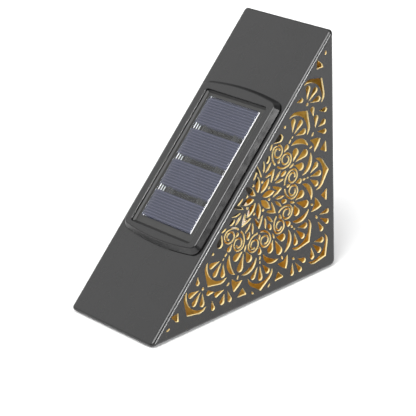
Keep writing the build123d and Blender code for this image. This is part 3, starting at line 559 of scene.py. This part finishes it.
class STEPLIGHT_OT_finish_electronics(Operator):
    """Finish the circuit board, what is on it and the wires"""
    bl_idname = "step_light.finish_electronics"
    bl_label = "Finish Electronics"

    def execute(self, context):
        green = (0.012, 0.11, 0.035)
        board = Finish("board_green", green, 0.3)
        board.feed("Base Color", board.mottle(green, 3 * MM, 0.25))
        board.coat("circuit_board")
        grained("chip_black", (0.02, 0.02, 0.02), 0.55, ("control_chip", "switch_body"),
                grain=0.1 * MM, depth=0.004 * MM, spread=0.05)
        grained("ferrite", (0.05, 0.048, 0.045), 0.6, ("inductor",),
                grain=0.3 * MM, depth=0.01 * MM, spread=0.08)
        grained("can_aluminium", (0.8, 0.8, 0.82), 0.22, ("capacitor",), metallic=1.0,
                grain=0.4 * MM, depth=0.002 * MM, spread=0.05)
        grained("switch_white", (0.7, 0.7, 0.68), 0.4, ("switch_knob",),
                grain=0.2 * MM, depth=0.003 * MM, spread=0.05)
        for name, colour in (("wire_red", (0.45, 0.01, 0.01)), ("wire_black", (0.015, 0.015, 0.015))):
            grained(name, colour, 0.35, ("panel_" + name, "battery_" + name),
                    grain=0.5 * MM, depth=0.004 * MM, spread=0.05)
        return {"FINISHED"}


class STEPLIGHT_OT_finish_battery(Operator):
    """Put a plain sleeve on the rechargeable cell"""
    bl_idname = "step_light.finish_battery"
    bl_label = "Finish Battery"

    def execute(self, context):
        green = (0.03, 0.16, 0.05)
        bare_length = 1.3 * MM
        sleeve = Finish("battery_sleeve", green, 0.3)
        low, high = span("battery_cell", UP)
        along = sleeve.dot(sleeve.place, UP)
        from_low = sleeve.math("SUBTRACT", along, low)
        from_high = sleeve.math("SUBTRACT", high, along)
        bare = sleeve.math("LESS_THAN", sleeve.least(from_low, from_high), bare_length)
        sleeve.feed("Base Color", sleeve.blend(bare, sleeve.mottle(green, 8 * MM, 0.1), (0.6, 0.6, 0.6)))
        sleeve.feed("Metallic", bare)
        sleeve.bump(sleeve.noise(6 * MM, stretch=(1, 4, 4)), 0.02 * MM)
        sleeve.coat("battery_cell")
        return {"FINISHED"}


class STEPLIGHT_OT_finish_lamp(Operator):
    """Finish the light-emitting diode, its reflector and the opal dome, which gets a faint painted glow
    """
    bl_idname = "step_light.finish_lamp"
    bl_label = "Finish Lamp"

    def execute(self, context):
        grained("led_lens", (0.95, 0.85, 0.45), 0.08, ("led",), Transmission_Weight=0.7, IOR=1.5,
                grain=0.8 * MM, depth=0.002 * MM, spread=0.02)
        grained("bright_reflector", (0.85, 0.85, 0.85), 0.12, ("lamp_reflector",), metallic=1.0,
                grain=0.6 * MM, depth=0.003 * MM, spread=0.04)
        # Painted light: the dome is given a faint glow so that it reads white, standing in for brightness
        # rather than a lit lamp.
        dome = grained("opal_dome", (0.9, 0.89, 0.84), 0.3, ("lamp_dome",), Subsurface_Weight=0.2,
                       Emission_Strength=0.35, grain=1.5 * MM, depth=0.003 * MM, spread=0.04)
        dome.feed("Emission Color", (1.0, 0.9, 0.7, 1.0))
        return {"FINISHED"}


class STEPLIGHT_OT_set_studio(Operator):
    """Lay the floor, hang the lights and place the camera"""
    bl_idname = "step_light.set_studio"
    bl_label = "Set Up Studio"

    def floor(self, settings):
        mesh = bpy.data.meshes.new("studio_floor")
        sheet = bmesh.new()
        corners = ((-1, -1), (1, -1), (1, 1), (-1, 1))
        sheet.faces.new([sheet.verts.new((x * FLOOR_REACH, y * FLOOR_REACH, 0.0)) for x, y in corners])
        sheet.to_mesh(mesh)
        sheet.free()
        ground = bpy.data.objects.new("studio_floor", mesh)
        bpy.context.scene.collection.objects.link(ground)
        finish = Finish("studio_floor", settings.floor_colour, 0.6)
        finish.feed("Base Color", finish.mottle(settings.floor_colour, 0.3, 0.004))
        mesh.materials.append(finish.material)

    def surround(self, settings):
        """White to the camera; to the object bright at its left and dark at its right."""
        world = bpy.data.worlds.new("studio_surround")
        world.use_nodes = True
        tree = world.node_tree
        lit = tree.nodes["Background"]
        seen = tree.nodes.new("ShaderNodeBackground")
        place = tree.nodes.new("ShaderNodeTexCoord")
        split = tree.nodes.new("ShaderNodeSeparateXYZ")
        fall = tree.nodes.new("ShaderNodeMapRange")
        rays = tree.nodes.new("ShaderNodeLightPath")
        mix = tree.nodes.new("ShaderNodeMixShader")
        tree.links.new(place.outputs["Generated"], split.inputs["Vector"])
        tree.links.new(split.outputs["X"], fall.inputs["Value"])
        limits = (FALL_START, FALL_END, settings.left_strength, settings.right_strength)
        for socket, value in zip(fall.inputs[1:5], limits):
            socket.default_value = value
        tree.links.new(fall.outputs["Result"], lit.inputs["Strength"])
        for background in (lit, seen):
            background.inputs["Color"].default_value = (1.0, 1.0, 1.0, 1.0)
        tree.links.new(rays.outputs["Is Camera Ray"], mix.inputs["Fac"])
        tree.links.new(lit.outputs["Background"], mix.inputs[1])
        tree.links.new(seen.outputs["Background"], mix.inputs[2])
        tree.links.new(mix.outputs["Shader"], tree.nodes["World Output"].inputs["Surface"])
        bpy.context.scene.world = world
        bpy.context.scene.view_settings.view_transform = "Standard"

    def lamp(self, name, kind, energy, direction):
        """A lamp that shines from this direction; gives its data and its object."""
        data = bpy.data.lights.new(name, kind)
        data.energy = energy
        holder = bpy.data.objects.new(name, data)
        bpy.context.scene.collection.objects.link(holder)
        holder.rotation_euler = Vector(direction).to_track_quat("Z", "Y").to_euler()
        return data, holder

    def strip(self, settings):
        """A tall narrow light that draws bright lines along edges at the right."""
        direction = Vector(STRIP_PLACE) - Vector(LIT_POINT)
        data, holder = self.lamp("strip_light", "AREA", settings.strip_power, direction)
        data.shape = "RECTANGLE"
        data.size, data.size_y = STRIP_SIZE
        holder.location = STRIP_PLACE

    def sun(self, name, direction, spread, strength):
        """A broad soft light, far off in this direction."""
        data, _ = self.lamp(name, "SUN", strength, direction)
        data.angle = radians(spread)

    def camera(self, settings):
        """The camera stands round the aim, then turns a little off it."""
        turn = Matrix.Rotation(settings.azimuth, 3, "Z") @ Matrix.Rotation(-settings.elevation, 3, "X")
        backward = turn @ Vector((0, -1, 0))
        level = backward.to_track_quat("Z", "Y").to_matrix()
        off_aim = (Matrix.Rotation(settings.swing, 3, "Y") @ Matrix.Rotation(-settings.tilt, 3, "X")
                   @ Matrix.Rotation(settings.roll, 3, "Z"))
        lens = bpy.data.cameras.new("photo_camera")
        lens.lens = settings.lens
        lens.sensor_width = 36.0
        lens.clip_start = 0.01
        camera = bpy.data.objects.new("photo_camera", lens)
        bpy.context.scene.collection.objects.link(camera)
        place = Matrix.Translation(Vector(settings.aim) + backward * settings.distance)
        camera.matrix_world = place @ (level @ off_aim).to_4x4()
        bpy.context.scene.camera = camera

    def execute(self, context):
        settings = context.scene.step_light_studio
        self.floor(settings)
        self.surround(settings)
        self.strip(settings)
        self.sun("key_light", KEY_FROM, KEY_SPREAD, settings.key_strength)
        self.sun("fill_light", FILL_FROM, FILL_SPREAD, settings.fill_strength)
        self.camera(settings)
        return {"FINISHED"}


class STEPLIGHT_PT_panel(Panel):
    """Lists the settings, and the steps that finish the light"""
    bl_idname = "STEPLIGHT_PT_panel"
    bl_label = "Solar Step Light"
    bl_space_type = "VIEW_3D"
    bl_region_type = "UI"
    bl_category = "Step Light"

    def draw(self, context):
        scene = context.scene
        for group in (scene.step_light_shell, scene.step_light_module, scene.step_light_studio):
            box = self.layout.box()
            for name in group.__annotations__:
                box.prop(group, name)
        for step in STEPS:
            self.layout.operator(step.bl_idname)


GROUPS = {
    "step_light_shell": ShellSettings,
    "step_light_module": ModuleSettings,
    "step_light_studio": StudioSettings,
}
STEPS = (
    STEPLIGHT_OT_coat_shell,
    STEPLIGHT_OT_finish_rubber,
    STEPLIGHT_OT_finish_mouldings,
    STEPLIGHT_OT_finish_panel,
    STEPLIGHT_OT_finish_metal,
    STEPLIGHT_OT_finish_electronics,
    STEPLIGHT_OT_finish_battery,
    STEPLIGHT_OT_finish_lamp,
    STEPLIGHT_OT_set_studio,
)


def register():
    for group in GROUPS.values():
        bpy.utils.register_class(group)
    for step in STEPS:
        bpy.utils.register_class(step)
    bpy.utils.register_class(STEPLIGHT_PT_panel)
    for name, group in GROUPS.items():
        setattr(bpy.types.Scene, name, PointerProperty(type=group))


def unregister():
    for name in GROUPS:
        delattr(bpy.types.Scene, name)
    bpy.utils.unregister_class(STEPLIGHT_PT_panel)
    for step in reversed(STEPS):
        bpy.utils.unregister_class(step)
    for group in reversed(GROUPS.values()):
        bpy.utils.unregister_class(group)


def run(step):
    """Calls one operator by its identifier."""
    group, name = step.bl_idname.split(".")
    getattr(getattr(bpy.ops, group), name)()


def main():
    register()
    for step in STEPS:
        run(step)


if __name__ == "__main__":
    main()
